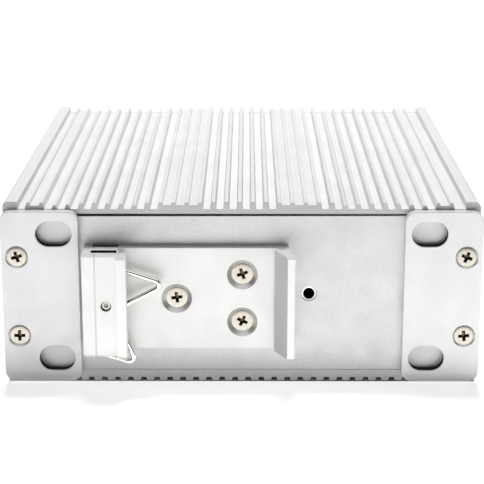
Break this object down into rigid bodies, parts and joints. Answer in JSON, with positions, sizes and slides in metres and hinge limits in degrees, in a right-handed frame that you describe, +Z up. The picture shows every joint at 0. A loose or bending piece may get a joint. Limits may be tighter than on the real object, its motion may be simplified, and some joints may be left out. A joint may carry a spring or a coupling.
{
  "type": "small power inverter",
  "caption": "Small finned aluminium inverter box with mounting ears, a rail clip with a sprung catch, plug-in terminals and a rocker switch.",
  "frame": {"origin": "middle of the underside of the housing", "axes": "+Z up through the finned roof, -Y out of the rear face that carries the rail clip, +X to the right when looking at that face"},
  "size_m": [0.1044, 0.1276, 0.041],
  "materials": {
    "housing_aluminium": "matt clear anodised",
    "panel_aluminium": "satin anodised",
    "front_aluminium": "satin anodised",
    "ear_aluminium": "fine matt anodised",
    "clip_aluminium": "bright anodised",
    "screw_nickel": "nickel plated",
    "zinc_steel": "zinc plated",
    "spring_wire": "bright nickel-plated spring wire",
    "pin_steel": "plain turned steel",
    "brass": "machined",
    "board_laminate": "green solder mask",
    "spreader_aluminium": "mill finish",
    "pad_silicone": "soft silicone",
    "moulding_black": "moulded epoxy and nylon",
    "ferrite": "sintered ferrite",
    "winding_tape": "polyester tape over copper",
    "capacitor_sleeve": "shrink sleeve",
    "film_box": "moulded box",
    "choke_green": "epoxy coated powder core",
    "copper_enamel": "enamelled copper",
    "relay_blue": "moulded cover",
    "fuse_glass": "clear",
    "lens_green": "tinted lens",
    "terminal_green": "moulded nylon",
    "tinned_pins": "tinned",
    "switch_black": "moulded nylon"
  },
  "bodies": {
    "housing": {"housing_top": "housing_aluminium", "housing_base": "housing_aluminium", "rear_panel": "panel_aluminium", "front_panel": "front_aluminium", "left_ear": "ear_aluminium", "right_ear": "ear_aluminium", "ear_screws": "screw_nickel", "front_screws": "screw_nickel", "clip_body": "clip_aluminium", "clip_screws": "screw_nickel", "clip_nuts": "zinc_steel", "clip_pin": "pin_steel", "ground_nut": "zinc_steel", "standoffs": "brass", "base_screws": "screw_nickel", "main_board": "board_laminate", "board_screws": "zinc_steel", "heat_spreader": "spreader_aluminium", "roof_pad": "pad_silicone", "transistors": "moulding_black", "transistor_clamp": "zinc_steel", "clamp_screws": "zinc_steel", "transformer_core": "ferrite", "transformer_bobbin": "moulding_black", "transformer_winding": "winding_tape", "storage_capacitors": "capacitor_sleeve", "film_capacitor": "film_box", "choke_core": "choke_green", "choke_windings": "copper_enamel", "relay": "relay_blue", "fuse_tube": "fuse_glass", "fuse_clips": "brass", "control_board": "board_laminate", "control_chips": "moulding_black", "board_header": "moulding_black", "led_holder": "moulding_black", "led_lenses": "lens_green", "dc_socket": "terminal_green", "dc_pins": "tinned_pins", "ac_socket": "terminal_green", "ac_pins": "tinned_pins", "switch_body": "switch_black"},
    "spring": {"clip_spring": "spring_wire"},
    "dc_plug_body": {"dc_plug": "terminal_green", "dc_plug_screws": "tinned_pins"},
    "ac_plug_body": {"ac_plug": "terminal_green", "ac_plug_screws": "tinned_pins"},
    "rocker": {"switch_rocker": "switch_black"}
  },
  "joints": [
    {"name": "spring_swing", "type": "hinge", "parent": "housing", "child": "spring", "pos_m": [-0.0291, -0.05805, 0.01985], "axis": [0, -1, 0], "range_deg": [0, 36]},
    {"name": "dc_plug_slide", "type": "slide", "parent": "housing", "child": "dc_plug_body", "axis": [0, 1, 0], "range_m": [0, 0.01]},
    {"name": "ac_plug_slide", "type": "slide", "parent": "housing", "child": "ac_plug_body", "axis": [0, 1, 0], "range_m": [0, 0.01]},
    {"name": "rocker_turn", "type": "hinge", "parent": "housing", "child": "rocker", "pos_m": [0.032, 0.0527, 0.01995], "axis": [1, 0, 0], "range_deg": [0, 18]}
  ]
}
